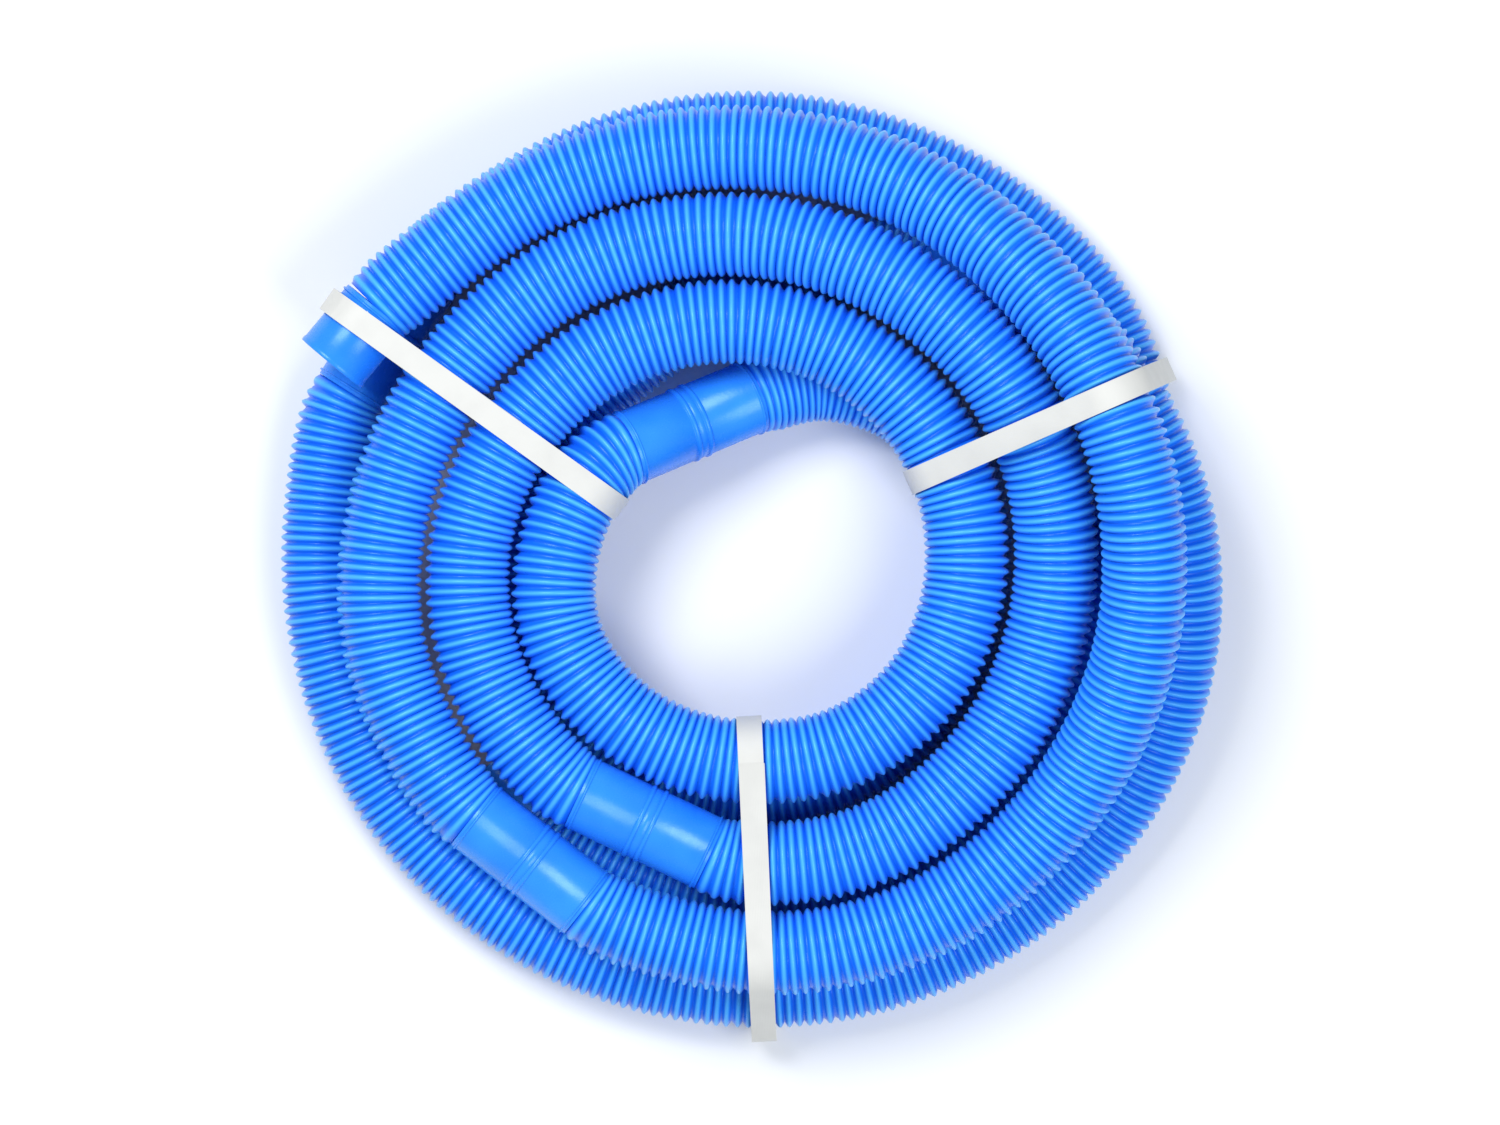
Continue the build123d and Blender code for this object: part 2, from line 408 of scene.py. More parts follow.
@dataclass(frozen=True)
class CuffPlace:
    """A straight cuff's middle, heading and length in millimetres, and roughly how many degrees wound."""

    centre: Vector
    heading: Vector
    length: float
    angle: float

    def along(self, reach: float) -> Vector:
        """The point on its axis, so far past its middle."""
        return self.centre + self.heading * reach

    def wound(self, reach: float, about: Vector) -> float:
        """The angle wound at a point on its axis.

        Args:
            reach: How far past its middle the point is.
            about: The middle of the layer.

        Returns:
            The angle, in degrees.
        """
        out = self.along(reach) - about
        angle = -math.degrees(math.atan2(out.y, out.x))
        return angle + 360 * round((self.angle - angle) / 360)


class Layer:
    """One flat layer of the coil. Its angles are degrees wound, clockwise from +X."""

    centre: Vector
    step: float = 26.0
    nudge: float = 0.25

    def radius(self, angle: float) -> float:
        """The layer's radius at an angle."""
        raise NotImplementedError

    def height(self, angle: float) -> float:
        """The line's height at an angle."""
        raise NotImplementedError

    def at(self, angle: float, spread: float = 1.0) -> Vector:
        """The line's point at an angle, or one outside it by a share of the radius."""
        turn = math.radians(-angle)
        reach = self.radius(angle) * spread
        across = Vector((reach * math.cos(turn), reach * math.sin(turn), self.height(angle)))
        return self.centre + across

    def spot(self, angle: float) -> Spot:
        """The line's point and heading at an angle."""
        onwards = self.at(angle + self.nudge) - self.at(angle - self.nudge)
        return Spot(self.at(angle), onwards.normalized())

    def guides(self, start: float, end: float) -> list[Vector]:
        """The spline's guides strictly between two angles, set out so that the line keeps its radius.

        Args:
            start: The angle of the guide before.
            end: The angle of the guide after.

        Returns:
            The guides.
        """
        count = max(2, round((end - start) / self.step))
        each = (end - start) / count
        spread = 1 / math.cos(math.radians(each) / 2)
        return [self.at(start + each * k, spread) for k in range(1, count)]

    def between(self, before: CuffPlace, leave: float, after: CuffPlace, arrive: float) -> list[Vector]:
        """The spline's guides from one cuff to the next.

        Args:
            before: The first cuff.
            leave: How far past its middle the guide before these is.
            after: The second cuff.
            arrive: How far past its middle the guide after these is.

        Returns:
            The guides.
        """
        return self.guides(before.wound(leave, self.centre), after.wound(arrive, self.centre))

    def cuff(self, angle: float, length: float) -> CuffPlace:
        """A cuff whose middle is on the line at an angle."""
        spot = self.spot(angle)
        return CuffPlace(spot.point, spot.heading, length, angle)


@dataclass
class UpperLayer(Layer):
    """The layer that shows: three turns winding inwards."""

    floor: float
    centre: Vector = field(default_factory=lambda: Vector((-5.6, -7.2, 0)))
    start_angle: float = -90.0
    start_radius: float = 236.7
    pitch: float = 49.6
    sways: tuple[Sway, ...] = (
        Sway(-112, -1.5, 12),
        Sway(-98, -2.2, 20),
        Sway(-28, -7.2, 32),
        Sway(66, 4.0, 30),
        Sway(126, -7.0, 16),
        Sway(168, 3.5, 22),
        Sway(300, -2.5, 32),
        Sway(424, 4.5, 26),
        Sway(473, -8.2, 26),
        Sway(540, 3.3, 30),
        Sway(661, 0.6, 25),
        Sway(812, -6.4, 30),
        Sway(890, 5.5, 26),
    )
    humps: tuple[Hump, ...] = (Hump(-14, 58.0, 80, 57), Hump(318, 22.0, 58, 58))

    def radius(self, angle: float) -> float:
        """The layer's radius at an angle."""
        turns = (angle - self.start_angle) / 360
        return self.start_radius - self.pitch * turns + sum(s.push(angle) for s in self.sways)

    def height(self, angle: float) -> float:
        """The line's height at an angle."""
        return self.floor + sum(hump.height(angle) for hump in self.humps)


@dataclass
class LowerLayer(Layer):
    """The layer on the floor: an inner turn, then the rim, and a last turn tucked in under it."""

    floor: float
    centre: Vector = field(default_factory=lambda: Vector((0, -2.0, 0)))
    start_angle: float = 1080.0
    start_radius: float = 121.5
    growth: float = 0.1
    rise_out: tuple[float, float] = (1312.0, 1458.0)
    rim_radius: float = 242.5
    tuck_in: tuple[float, float] = (1765.0, 1825.0)
    tuck_radius: float = 190.0
    sways: tuple[Sway, ...] = (
        Sway(1042, 9.0, 28),
        Sway(1312, -14.0, 36),
        Sway(1478, 5.0, 30),
        Sway(1545, -3.0, 20),
        Sway(1748, -3.2, 28),
    )
    crossing: Hump = Hump(1426, 54.5, 73, 55)

    def radius(self, angle: float) -> float:
        """The layer's radius at an angle."""
        inner = self.start_radius + self.growth * (min(angle, self.rise_out[0]) - self.start_angle)
        radius = inner + (self.rim_radius - inner) * ease(angle, *self.rise_out)
        radius += (self.tuck_radius - self.rim_radius) * ease(angle, *self.tuck_in)
        return radius + sum(s.push(angle) for s in self.sways)

    def height(self, angle: float) -> float:
        """The line's height at an angle."""
        return self.floor + self.crossing.height(angle)


def heading_vector(heading: float, slope_down: float = 0.0) -> Vector:
    """A unit vector from a heading in plan and a downward slope, in degrees."""
    flat = math.cos(math.radians(slope_down))
    turn = math.radians(heading)
    down = math.sin(math.radians(slope_down))
    return Vector((flat * math.cos(turn), flat * math.sin(turn), -down))


class Line:
    """The hose's centre line, as points read from its spline, in metres."""

    bend_over: float = 0.03

    def __init__(self, points: np.ndarray) -> None:
        """Measures the line.

        Args:
            points: Its points, in order.
        """
        self.points = points
        steps = np.linalg.norm(np.diff(points, axis=0), axis=1)
        self.reach = np.concatenate(([0.0], np.cumsum(steps)))
        self.headings = self._unit(np.gradient(points, self.reach, axis=0))
        self.bends = self._smoothed(np.gradient(self.headings, self.reach, axis=0), self.bend_over)

    @staticmethod
    def _unit(rows: np.ndarray) -> np.ndarray:
        """The rows made one long."""
        return rows / np.linalg.norm(rows, axis=1, keepdims=True)

    def _smoothed(self, rows: np.ndarray, over: float) -> np.ndarray:
        """The rows averaged over a length of the line.

        Args:
            rows: One row for each point.
            over: The length, in metres.

        Returns:
            The averages.
        """
        gains = (rows[1:] + rows[:-1]) / 2 * np.diff(self.reach)[:, None]
        total = np.vstack(([0.0, 0.0, 0.0], np.cumsum(gains, axis=0)))
        low = np.clip(self.reach - over / 2, 0, self.reach[-1])
        high = np.clip(self.reach + over / 2, 0, self.reach[-1])
        gained = self._read(total, high) - self._read(total, low)
        return gained / (high - low)[:, None]

    def _read(self, rows: np.ndarray, reach: np.ndarray) -> np.ndarray:
        """The rows at any distances along the line."""
        return np.stack([np.interp(reach, self.reach, rows[:, k]) for k in range(3)], axis=-1)

    def at(self, reach: np.ndarray) -> tuple[np.ndarray, np.ndarray, np.ndarray]:
        """The points, headings and bends at some distances along the line.

        Args:
            reach: The distances, in metres.

        Returns:
            Each as an array of rows. A bend points to its middle, and is one over its radius.
        """
        headings = self._unit(self._read(self.headings, reach))
        return self._read(self.points, reach), headings, self._read(self.bends, reach)

    def nearest(self, point: Vector) -> float:
        """How far along the line it comes nearest to a point, in metres."""
        away = np.array(point)
        starts, ends = self.points[:-1], self.points[1:]
        runs = ends - starts
        share = np.clip(((away - starts) * runs).sum(1) / (runs * runs).sum(1), 0, 1)
        gaps = np.linalg.norm(starts + runs * share[:, None] - away, axis=1)
        k = int(np.argmin(gaps))
        return float(self.reach[k] + share[k] * np.linalg.norm(runs[k]))


@dataclass
class HoseRoute:
    """The way the whole hose lies, cuffs and all, in millimetres from the middle of the coil.

    Headings, slopes and angles are in degrees, and the angles are degrees wound.
    """

    coil_centre: Vector = field(default_factory=lambda: Vector((1.05, 5.6, 0)))
    crest_radius: float = 23.75
    lowest: float = 24.75
    layer_gap: float = 0.5
    end_length: float = 40.0
    middle_length: float = 80.0
    beside: float = 20.0
    past_mouth: float = 10.0
    mouth: Vector = field(default_factory=lambda: Vector((-234.2, 107.2, 72.75)))
    mouth_heading: float = 50.3
    mouth_angle: float = -140.0
    upper_cuffs: tuple[float, float] = (126.0, 470.8)
    drop_centre: Vector = field(default_factory=lambda: Vector((-35.4, 74.8, 48.4)))
    drop_heading: float = 23.2
    drop_slope: float = 17.5
    drop_angle: float = 920.0
    drop_foot: Vector = field(default_factory=lambda: Vector((48.0, 101.5, 27.2)))
    foot_angle: float = 1012.0
    lower_cuffs: tuple[float, float] = (1392.0, 1652.0)
    lower_end_angle: float = 1936.0
    lower_end_radius: float = 187.0
    lower_end_turn: float = 94.0

    def __post_init__(self) -> None:
        """Sets out the layers and the cuffs."""
        self.upper = UpperLayer(self.lowest + 2 * self.crest_radius + self.layer_gap)
        self.lower = LowerLayer(self.lowest)
        into = heading_vector(self.mouth_heading)
        middle = self.mouth + into * (self.end_length / 2)
        drop = heading_vector(self.drop_heading, self.drop_slope)
        self.cuffs = [
            CuffPlace(middle, into, self.end_length, self.mouth_angle),
            *(self.upper.cuff(angle, self.middle_length) for angle in self.upper_cuffs),
            CuffPlace(self.drop_centre, drop, self.middle_length, self.drop_angle),
            *(self.lower.cuff(angle, self.middle_length) for angle in self.lower_cuffs),
            self.lower_end(),
        ]

    def lower_end(self) -> CuffPlace:
        """Where the lower end's cuff lies, tucked in under the rim."""
        turn = math.radians(-self.lower_end_angle)
        out = self.lower_end_radius * math.cos(turn), self.lower_end_radius * math.sin(turn)
        centre = self.lower.centre + Vector((*out, self.lowest))
        heading = heading_vector(-self.lower_end_angle - self.lower_end_turn)
        return CuffPlace(centre, heading, self.end_length, self.lower_end_angle)

    def guides(self) -> list[Vector]:
        """The spline's guide points, from the upper mouth to the lower one."""
        first, one, two, three, four, five, last = self.cuffs
        clear = self.middle_length / 2 + self.beside
        half = self.end_length / 2
        before, leave = first, half + self.past_mouth
        points = [first.along(-half), first.along(0), first.along(leave)]
        for cuff in (one, two, three):
            points += self.upper.between(before, leave, cuff, -clear) + self.beside_cuff(cuff)
            before, leave = cuff, clear
        points += [self.drop_foot]
        points += self.lower.guides(self.foot_angle, four.wound(-clear, self.lower.centre))
        points += self.beside_cuff(four)
        points += self.lower.between(four, clear, five, -clear) + self.beside_cuff(five)
        arrive = -half - self.beside
        points += self.lower.between(five, clear, last, arrive)
        return points + [last.along(arrive), last.along(0), last.along(half)]

    def beside_cuff(self, cuff: CuffPlace) -> list[Vector]:
        """Four guides in line, which keep the hose straight through a middle cuff."""
        clear = self.middle_length / 2 + self.beside
        return [cuff.along(x) for x in (-clear, -self.beside, self.beside, clear)]

    def placed(self, point: Vector) -> Vector:
        """A point of the route in the part's own frame, in metres."""
        return (point + self.coil_centre) * MM

    def line(self) -> Line:
        """Draws the spline through its guides and reads the hose's line from it."""
        curve = bpy.data.curves.new("hose_route", "CURVE")
        curve.dimensions = "3D"
        spline = curve.splines.new("NURBS")
        guides = [self.placed(point) for point in self.guides()]
        spline.points.add(len(guides) - 1)
        for point, guide in zip(spline.points, guides):
            point.co = (*guide, 1.0)
        spline.order_u = 3
        spline.use_endpoint_u = True
        spline.resolution_u = 24
        holder = bpy.data.objects.new("hose_route", curve)
        bpy.context.scene.collection.objects.link(holder)
        mesh = bpy.data.meshes.new_from_object(holder)
        points = np.array([vertex.co for vertex in mesh.vertices], float)
        bpy.data.meshes.remove(mesh)
        bpy.data.objects.remove(holder)
        bpy.data.curves.remove(curve)
        return Line(points)


# ---------------------------------------------------------------- helpers for hand modelling
def deselect() -> None:
    """Leaves edit mode and deselects every object."""
    if bpy.context.object is not None and bpy.context.object.mode != "OBJECT":
        bpy.ops.object.mode_set(mode="OBJECT")
    bpy.ops.object.select_all(action="DESELECT")


def finish_piece(piece: bpy.types.Object, material: bpy.types.Material) -> None:
    """Dresses a finished piece and makes it ride on the part.

    Args:
        piece: The piece, in its place.
        material: Its finish.
    """
    piece.data.materials.clear()
    piece.data.materials.append(material)
    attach(piece, BODY)


def soften(piece: bpy.types.Object, width: float, sharp: float, smooth: float) -> None:
    """Rounds a piece's sharp edges and shades the rest smooth.

    Args:
        piece: The piece, which is active and selected.
        width: How wide a rounded edge is, in metres.
        sharp: The angle past which an edge is rounded, in degrees.
        smooth: The angle up to which faces shade into each other, in degrees.
    """
    edge = piece.modifiers.new("soft_edges", "BEVEL")
    edge.width = width
    edge.segments = 2
    edge.limit_method = "ANGLE"
    edge.angle_limit = math.radians(sharp)
    bpy.ops.object.modifier_apply(modifier=edge.name)
    bpy.ops.object.shade_smooth_by_angle(angle=math.radians(smooth))


# ---------------------------------------------------------------- the ribbed hose
@dataclass(frozen=True)
class Ripple:
    """A slow wave from rib to rib, which keeps the ribs from being quite even."""

    size: float
    pace: float
    start: float = 0.0

    def over(self, ribs: np.ndarray) -> np.ndarray:
        """Its value at each rib."""
        return self.size * np.sin(ribs * self.pace + self.start)


@dataclass
class RibbedSection:
    """A length of ribbed hose between two cuffs, in metres."""

    name: str
    line: Line
    start: float
    end: float
    ribs: int = 186
    around: int = 56
    crest: float = 23.75 * MM
    depth: float = 3.4 * MM
    fullness: float = 0.5
    rib_steps: int = 8
    bore: float = 19.0 * MM
    bore_rings: int = 90
    end_rib: float = 0.5
    end_rib_gain: float = 0.25
    fan_limits: tuple[float, float] = (0.72, 1.5)
    unrest: tuple[Ripple, ...] = (Ripple(0.045, 1.93, 0.7), Ripple(0.035, 0.61, 2.0))
    tilt: tuple[Ripple, ...] = (Ripple(0.011, 0.83), Ripple(0.012, 0.217, 1.3))
    lean: tuple[Ripple, ...] = (Ripple(0.009, 1.31, 0.4), Ripple(0.01, 0.151))
    columns: int = 4
    column_gap: float = 0.02

    def profile(self) -> tuple[np.ndarray, np.ndarray]:
        """One rib's outline, a full wave, from one groove to the next.

        Returns:
            How far each ring is from the rib's middle, in pitches, and its height between groove
            and crest, from 0 to 1.
        """
        place = np.arange(self.rib_steps) / self.rib_steps - 0.5
        return place, (0.5 + 0.5 * np.cos(2 * math.pi * place)) ** self.fullness

    def build(self) -> bpy.types.Object:
        """Builds the section's mesh: the ribbed outside, the plain bore and the two ends."""
        pitch = (self.end - self.start) / self.ribs
        offsets, wave = self.profile()
        index = np.arange(self.ribs)
        middles = (index + 0.5 + self.rippled(self.unrest, index)) * pitch
        end_gap = np.minimum(index, self.ribs - 1 - index)
        height = self.depth * np.clip(self.end_rib + self.end_rib_gain * end_gap, 0, 1)
        root = self.crest - self.depth

        ring_middle = np.repeat(middles, len(offsets))
        ring_offset = np.tile(offsets, self.ribs)
        ring_rise = (height[:, None] * wave[None, :]).ravel()
        ring_tilt = np.repeat(self.rippled(self.tilt, index), len(offsets))
        ring_lean = np.repeat(self.rippled(self.lean, index), len(offsets))
        turn = np.linspace(0, 2 * math.pi, self.around, endpoint=False)
        side, up = np.cos(turn)[None, :], np.sin(turn)[None, :]

        radius = (root + ring_rise)[:, None] * np.ones_like(side)
        _, headings, bends = self.line.at(self.start + ring_middle)
        outs, ups = self.sides(headings)
        open_side = -(bends * outs).sum(1)[:, None] * side - (bends * ups).sum(1)[:, None] * up
        fan = np.clip(1 + self.crest * open_side, *self.fan_limits)
        shift = ring_offset[:, None] * pitch / fan
        shift = shift + radius * (ring_tilt[:, None] * side + ring_lean[:, None] * up)
        reach = np.clip(self.start + ring_middle[:, None] + shift, self.start, self.end)
        outer = self.wrap(reach, radius, side, up)

        root_ring = np.full_like(reach[:1], root)
        start_ring = self.wrap(np.full_like(reach[:1], self.start), root_ring, side, up)
        end_ring = self.wrap(np.full_like(reach[:1], self.end), root_ring, side, up)
        inner_reach = np.linspace(self.end, self.start, self.bore_rings)[:, None] * np.ones_like(side)
        inner = self.wrap(inner_reach, np.full_like(inner_reach, self.bore), side, up)
        rings = np.concatenate((start_ring, outer, end_ring, inner))
        rise = np.concatenate(([0.0], np.tile(wave, self.ribs), [0.0], np.zeros(len(inner))))
        return self.mesh(rings, rise)

    @staticmethod
    def rippled(ripples: tuple[Ripple, ...], ribs: np.ndarray) -> np.ndarray:
        """The sum of some ripples at each rib."""
        return sum(ripple.over(ribs) for ripple in ripples)

    @staticmethod
    def sides(headings: np.ndarray) -> tuple[np.ndarray, np.ndarray]:
        """The way out from the coil and the way up, for each heading.

        Args:
            headings: Unit headings.

        Returns:
            Unit vectors square to the headings.
        """
        outs = np.stack((-headings[:, 1], headings[:, 0], np.zeros(len(headings))), axis=1)
        outs /= np.linalg.norm(outs, axis=1, keepdims=True)
        return outs, np.cross(headings, outs)

    def wrap(self, reach: np.ndarray, radius: np.ndarray, side: np.ndarray, up: np.ndarray) -> np.ndarray:
        """Puts rings round the line.

        Args:
            reach: How far along each point is, one row to a ring.
            radius: How far out each point is.
            side: Each point's share of the way out.
            up: Each point's share of the way up.

        Returns:
            The points, ring by ring.
        """
        points, headings, _ = self.line.at(reach.ravel())
        outs, ups = self.sides(headings)
        shape = (*reach.shape, 3)
        across = outs.reshape(shape) * side[..., None] + ups.reshape(shape) * up[..., None]
        return points.reshape(shape) + across * radius[..., None]

    def mesh(self, rings: np.ndarray, rise: np.ndarray) -> bpy.types.Object:
        """Joins rings into a closed shell.

        Args:
            rings: The rings' points. The last ring joins the first.
            rise: Each ring's height between groove and crest.

        Returns:
            The section.
        """
        count, around = rings.shape[:2]
        ring = np.arange(count)[:, None] * around
        after = (np.arange(count)[:, None] + 1) % count * around
        k = np.arange(around)[None, :]
        k_next = (k + 1) % around
        faces = np.stack((ring + k, ring + k_next, after + k_next, after + k), axis=-1).reshape(-1, 4)
        mesh = bpy.data.meshes.new(self.name)
        mesh.from_pydata(rings.reshape(-1, 3).tolist(), [], faces[:, ::-1].tolist())
        mesh.attributes.new("rise", "FLOAT", "POINT").data.foreach_set(
            "value", np.repeat(rise, around).astype(np.float32)
        )
        self.unroll(mesh, count)
        mesh.polygons.foreach_set("use_smooth", np.ones(len(faces), bool))
        mesh.update()
        section = bpy.data.objects.new(self.name, mesh)
        bpy.context.scene.collection.objects.link(section)
        return section

    def unroll(self, mesh: bpy.types.Mesh, count: int) -> None:
        """Lays the wall out flat, in a map of upright columns side by side.

        Args:
            mesh: The section's mesh, whose faces go round ring by ring.
            count: How many rings it has.
        """
        each = -(-count // self.columns)
        ring = np.repeat(np.arange(count), self.around)
        column, row = ring // each, ring % each
        k = np.tile(np.arange(self.around), count)
        left = (column + self.column_gap + (1 - 2 * self.column_gap) * k / self.around) / self.columns
        right = left + (1 - 2 * self.column_gap) / self.around / self.columns
        low, high = row / each, (row + 1 - self.column_gap) / each
        corners = np.stack((
            np.stack((left, high), -1), np.stack((right, high), -1),
            np.stack((right, low), -1), np.stack((left, low), -1),
        ), axis=1)
        mesh.uv_layers.new(name="OFBake").data.foreach_set("uv", corners.astype(np.float32).ravel())


# ---------------------------------------------------------------- cuffs
class CuffKind(Enum):
    """Which end of the hose a cuff is on."""

    UPPER_END = "upper_end"
    MIDDLE = "middle"
    LOWER_END = "lower_end"


@dataclass
class Cuff:
    """A smooth cuff, turned about its own axis, in metres."""

    name: str
    place: CuffPlace
    kind: CuffKind
    route: HoseRoute
    wall: float = 21.0 * MM
    bore: float = 19.0 * MM
    shoulder: float = 1.0 * MM
    shoulder_width: float = 1.5 * MM
    shoulder_inset: float = 2.6 * MM
    bead: float = 0.9 * MM
    bead_width: float = 2.6 * MM
    bead_spread: float = 7.2 * MM
    score: float = 0.3 * MM
    rim_rise: float = 0.45 * MM
    rim_width: float = 2.6 * MM
    rim_round: float = 0.4 * MM
    rim_run: float = 0.6 * MM
    soft_edge: float = 0.3 * MM
    around: int = 120
    ridge_steps: int = 6

    def ring_steps(self) -> list[tuple[float, float]]:
        """The outline, as distances along the axis and radii, round the wall and back by the bore."""
        half = self.place.length * MM / 2
        steps = [(-half, self.wall)]
        if self.kind is CuffKind.UPPER_END:
            steps = self.rim(-half, 1)
        else:
            steps += self.ridge(-half + self.shoulder_inset, self.shoulder, self.shoulder_width)
        if self.kind is CuffKind.MIDDLE:
            for side in (-1, 1):
                steps += self.scored_bead(side * self.bead_spread / 2)
        if self.kind is CuffKind.LOWER_END:
            steps += reversed(self.rim(half, -1))
        else:
            steps += self.ridge(half - self.shoulder_inset, self.shoulder, self.shoulder_width)
            steps += [(half, self.wall)]
        return steps + [(half, self.bore), (-half, self.bore)]

    def rim(self, at: float, inwards: int) -> list[tuple[float, float]]:
        """The rolled rim of a mouth.

        Args:
            at: Where the mouth is, along the axis.
            inwards: Which way the hose lies from it, 1 or -1.

        Returns:
            The outline's steps, from the mouth inwards.
        """
        proud = self.wall + self.rim_rise
        return [
            (at, self.bore + self.rim_run),
            (at, self.wall + self.rim_rise * 0.4),
            (at + inwards * self.rim_round, proud),
            (at + inwards * self.rim_width, proud),
            (at + inwards * (self.rim_width + self.rim_run), self.wall),
        ]

    def scored_bead(self, middle: float) -> list[tuple[float, float]]:
        """A bead with a fine line scored along each side.

        Args:
            middle: Where it is along the axis.

        Returns:
            The outline's steps.
        """
        bottom = self.bead_width / 2 + self.score
        edge = bottom + self.score
        before = [(middle - edge, self.wall), (middle - bottom, self.wall - self.score)]
        after = [(middle + bottom, self.wall - self.score), (middle + edge, self.wall)]
        return before + self.ridge(middle, self.bead, self.bead_width) + after

    def ridge(self, middle: float, height: float, width: float) -> list[tuple[float, float]]:
        """A rounded ring that stands proud of the wall.

        Args:
            middle: Where it is along the axis.
            height: How proud it stands.
            width: How wide it is.

        Returns:
            The outline's steps.
        """
        turns = [math.pi * k / self.ridge_steps for k in range(self.ridge_steps + 1)]
        return [(middle - width / 2 * math.cos(t), self.wall + height * math.sin(t)) for t in turns]

    def build(self) -> bpy.types.Object:
        """Draws the first ring, extrudes it along the outline, closes the shell and sets it in place."""
        deselect()
        steps = self.ring_steps()
        start, radius = steps[0]
        bpy.ops.mesh.primitive_circle_add(vertices=self.around, radius=radius, location=(0, 0, start))
        cuff = bpy.context.object
        cuff.name = cuff.data.name = self.name
        bpy.ops.object.transform_apply(location=True, rotation=True, scale=True)
        bpy.ops.object.mode_set(mode="EDIT")
        bpy.ops.mesh.select_mode(type="VERT")
        bpy.ops.mesh.select_all(action="SELECT")
        for (z0, r0), (z1, r1) in zip(steps, steps[1:] + steps[:1]):
            bpy.ops.mesh.extrude_region_move(TRANSFORM_OT_translate={"value": (0, 0, z1 - z0)})
            if abs(r1 - r0) > 1e-9:
                bpy.ops.transform.resize(value=(r1 / r0, r1 / r0, 1), center_override=(0, 0, z1))
        bpy.ops.mesh.select_all(action="SELECT")
        bpy.ops.mesh.remove_doubles(threshold=1e-6)
        bpy.ops.mesh.normals_make_consistent(inside=False)
        bpy.ops.object.mode_set(mode="OBJECT")
        soften(cuff, self.soft_edge, sharp=45, smooth=50)
        turn = self.place.heading.to_track_quat("Z", "Y").to_matrix().to_4x4()
        cuff.matrix_world = Matrix.Translation(self.route.placed(self.place.centre)) @ turn
        bpy.ops.object.transform_apply(location=True, rotation=True, scale=True)
        return cuff


# ---------------------------------------------------------------- bands
@dataclass(frozen=True)
class BandLie:
    """How a band lies: its CAD node, its way out from the middle in degrees, and two distances.

    The offset is how far it is to the side of the middle, and the slack is how far its outer end
    stands off the hose, both in millimetres.
    """

    node: str
    heading: float
    offset: float
    slack: float = 0.0


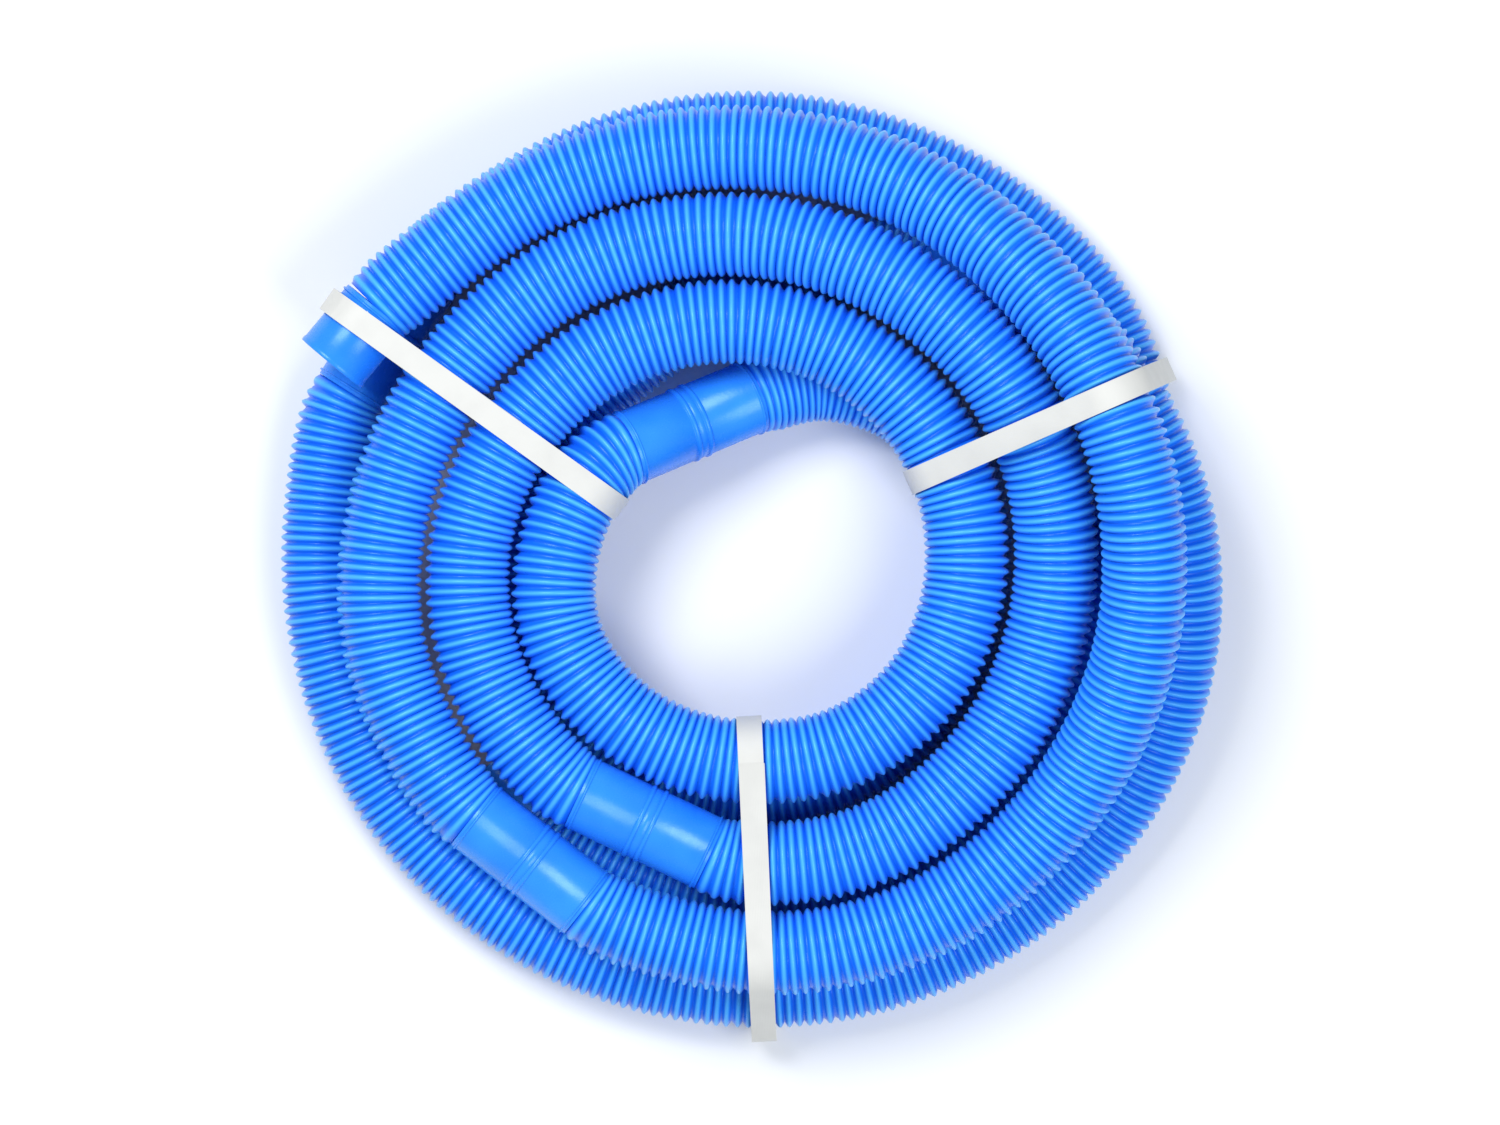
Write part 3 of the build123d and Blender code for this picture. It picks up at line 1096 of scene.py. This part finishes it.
@dataclass
class Band:
    """A strapping band drawn round the turns that it crosses, in metres."""

    lie: BandLie
    line: Line
    route: HoseRoute
    width: float = 14.0 * MM
    thickness: float = 0.7 * MM
    gap: float = 0.3 * MM
    crest: float = 23.75 * MM
    shares: tuple[float, ...] = (-0.5, -0.25, 0.0, 0.25, 0.5)
    around: int = 96
    side_on: float = 0.8
    soft_edge: float = 0.15 * MM

    def __post_init__(self) -> None:
        """Sets out the band's directions and how far it is to the side, in metres."""
        self.aside = self.lie.offset * MM
        self.out = heading_vector(self.lie.heading)
        self.side = Vector((self.out.y, -self.out.x, 0))
        self.middle = self.route.placed(Vector((0, 0, 0)))

    def crossings(self, offset: float) -> list[tuple[Vector, Vector]]:
        """Where the hose passes through an upright plane.

        Args:
            offset: How far the plane is to the side of the coil's middle.

        Returns:
            The points, each with the hose's heading there.
        """
        gaps = (self.line.points - np.array(self.middle)) @ np.array(self.side) - offset
        found = []
        for k in np.nonzero(gaps[:-1] * gaps[1:] <= 0)[0]:
            share = gaps[k] / (gaps[k] - gaps[k + 1])
            point = Vector(self.line.points[k] * (1 - share) + self.line.points[k + 1] * share)
            if (point - self.middle).dot(self.out) > 0:
                found.append((point, Vector(self.line.headings[k])))
        return found

    def outline(self) -> list[Vector]:
        """The middles of the circles that the band goes round, all in its middle plane."""
        spots = []
        for share in self.shares:
            past = share * self.width
            for point, heading in self.crossings(self.aside + past):
                lean = heading - self.side * heading.dot(self.side)
                stretch = (1 / abs(heading.dot(self.side)) - 1) * self.crest
                for sign in (-1, 1):
                    spots.append(point - self.side * past + lean.normalized() * (sign * stretch))
        outermost = max(spots, key=lambda spot: (spot - self.middle).dot(self.out))
        return spots + [outermost + self.out * (self.lie.slack * MM)]

    def build(self) -> bpy.types.Object:
        """Draws the circles that the band goes round at both its edges, wraps them and keeps the strip."""
        deselect()
        bpy.ops.mesh.primitive_circle_add(vertices=8, radius=1 * MM)
        band = bpy.context.object
        band.name = band.data.name = f"{self.lie.node}_strap"
        bpy.ops.object.mode_set(mode="EDIT")
        bpy.ops.mesh.select_mode(type="VERT")
        bpy.ops.mesh.delete(type="VERT")
        upright = self.side.to_track_quat("Z", "Y").to_euler()
        for spot in self.outline():
            for edge in (-0.5, 0.5):
                bpy.ops.mesh.primitive_circle_add(
                    vertices=self.around,
                    radius=self.crest + self.gap,
                    location=spot + self.side * (edge * self.width),
                    rotation=upright,
                )
        bpy.ops.mesh.select_all(action="SELECT")
        bpy.ops.mesh.convex_hull(delete_unused=True, use_existing_faces=False, make_holes=False)
        bpy.ops.mesh.normals_make_consistent(inside=False)
        bpy.ops.mesh.select_mode(type="FACE")
        bpy.ops.mesh.select_all(action="DESELECT")
        bpy.ops.object.mode_set(mode="OBJECT")
        for face in band.data.polygons:
            face.select = abs(face.normal.dot(self.side)) > self.side_on
        bpy.ops.object.mode_set(mode="EDIT")
        bpy.ops.mesh.delete(type="FACE")
        bpy.ops.object.mode_set(mode="OBJECT")
        wall = band.modifiers.new("wall", "SOLIDIFY")
        wall.thickness = self.thickness
        wall.offset = 1.0
        bpy.ops.object.modifier_apply(modifier=wall.name)
        soften(band, self.soft_edge, sharp=50, smooth=40)
        self.mark(band)
        return band

    def mark(self, band: bpy.types.Object) -> None:
        """Stores how far each point is across the band."""
        across = [(v.co - self.middle).dot(self.side) - self.aside for v in band.data.vertices]
        stored = band.data.attributes.new("across", "FLOAT", "POINT")
        stored.data.foreach_set("value", np.array(across, np.float32))


# ---------------------------------------------------------------- the whole hose
@dataclass
class VacuumHose:
    """The hose in its coil, with its cuffs and its bands."""

    route: HoseRoute = field(default_factory=HoseRoute)
    lies: tuple[BandLie, ...] = (
        BandLie("band_outer_left", 144.3, -21.5),
        BandLie("band_right", 23.6, -2.3, 2.0),
        BandLie("band_front", 272.7, 5.9, 6.5),
    )

    def build(self) -> None:
        """Builds and dresses every piece."""
        line = self.route.line()
        ribbed, smooth = BlueHosePlastic().make(), BlueCuffPlastic().make()
        cuffs = self.build_cuffs(smooth)
        self.build_sections(line, ribbed)
        self.build_bands(line)

    def build_cuffs(self, finish: bpy.types.Material) -> list[bpy.types.Object]:
        """Builds the seven cuffs.

        Args:
            finish: Their plastic.

        Returns:
            The cuffs, from the upper mouth to the lower one.
        """
        last = len(self.route.cuffs) - 1
        made = []
        for number, place in enumerate(self.route.cuffs):
            kind, node = CuffKind.MIDDLE, f"middle_cuff_{number}"
            if number == 0:
                kind, node = CuffKind.UPPER_END, "end_cuff_upper"
            elif number == last:
                kind, node = CuffKind.LOWER_END, "end_cuff_lower"
            cuff = Cuff(f"{node}_turned", place, kind, self.route).build()
            finish_piece(cuff, finish)
            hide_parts(node)
            made.append(cuff)
            LOG.info("%s: %d faces", cuff.name, len(cuff.data.polygons))
        return made

    def build_sections(self, line: Line, finish: bpy.types.Material) -> None:
        """Args:
            line: The hose's line.
            finish: The ribbed plastic.
        """
        places = self.route.cuffs
        for number in range(1, len(places)):
            before, after = places[number - 1], places[number]
            start = line.nearest(self.route.placed(before.along(before.length / 2)))
            end = line.nearest(self.route.placed(after.along(-after.length / 2)))
            section = RibbedSection(f"hose_section_{number}_ribbed", line, start, end)
            piece = section.build()
            finish_piece(piece, finish)
            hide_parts(f"hose_section_{number}")
            2 * section.crest
            LOG.info("%s: %.0f mm, %d faces", piece.name, (end - start) / MM, len(piece.data.polygons))

    def build_bands(self, line: Line) -> None:
        """Builds the three bands."""
        finish = WhiteStrapping().make()
        for lie in self.lies:
            band = Band(lie, line, self.route).build()
            finish_piece(band, finish)
            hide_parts(lie.node)
            LOG.info("%s: %d faces", band.name, len(band.data.polygons))


# ---------------------------------------------------------------- studio
@dataclass(frozen=True)
class Softbox:
    """A square soft light that faces the coil: its place and side in metres, its power in watts."""

    name: str
    place: tuple[float, float, float]
    side: float
    power: float

    def hang(self) -> None:
        """Hangs the light."""
        lamp = bpy.data.lights.new(self.name, "AREA")
        lamp.shape = "SQUARE"
        lamp.size = self.side
        lamp.energy = self.power
        holder = bpy.data.objects.new(self.name, lamp)
        holder.location = self.place
        holder.rotation_euler = (-Vector(self.place)).to_track_quat("-Z", "Y").to_euler()
        bpy.context.scene.collection.objects.link(holder)


@dataclass
class Studio:
    """The floor, the lights and the camera straight above the coil, in metres."""

    floor_side: float = 14.0
    softboxes: tuple[Softbox, ...] = (
        Softbox("key_softbox", (-0.8, 0.9, 2.0), 1.0, 37.0),
        Softbox("fill_softbox", (0.9, -0.8, 2.0), 1.2, 26.0),
    )
    sky: Colour = (0.86, 0.93, 1, 1)
    sky_strength: float = 0.42
    camera_place: Vector = field(default_factory=lambda: Vector((0.0, 0.002, 3.0)))
    subject_height: float = 0.07275
    view_width: float = 0.8355
    sensor_mm: float = 36.0
    sight: float = 50.0

    def build(self) -> None:
        """Sets up the floor, the lights and the camera."""
        deselect()
        bpy.ops.mesh.primitive_plane_add(size=self.floor_side, location=(0, 0, 0))
        floor = bpy.context.object
        floor.name = "floor"
        floor.data.materials.append(PaleFloor().make())
        for softbox in self.softboxes:
            softbox.hang()
        world = bpy.data.worlds.new("studio")
        world.use_nodes = True
        background = world.node_tree.nodes["Background"]
        background.inputs["Color"].default_value = self.sky
        background.inputs["Strength"].default_value = self.sky_strength
        bpy.context.scene.world = world
        bpy.context.scene.view_settings.view_transform = "Standard"
        self.camera()

    def camera(self) -> None:
        """Adds the camera, looking straight down on the coil."""
        data = bpy.data.cameras.new("camera")
        data.sensor_width = self.sensor_mm
        data.lens = self.sensor_mm * (self.camera_place.z - self.subject_height) / self.view_width
        data.clip_end = self.sight
        holder = bpy.data.objects.new("camera", data)
        holder.location = self.camera_place
        bpy.context.scene.collection.objects.link(holder)
        bpy.context.scene.camera = holder


def main() -> None:
    """Builds the studio and the hose."""
    logging.basicConfig(level=logging.INFO, format="%(message)s")
    Studio().build()
    VacuumHose().build()


if __name__ == "__main__":
    main()
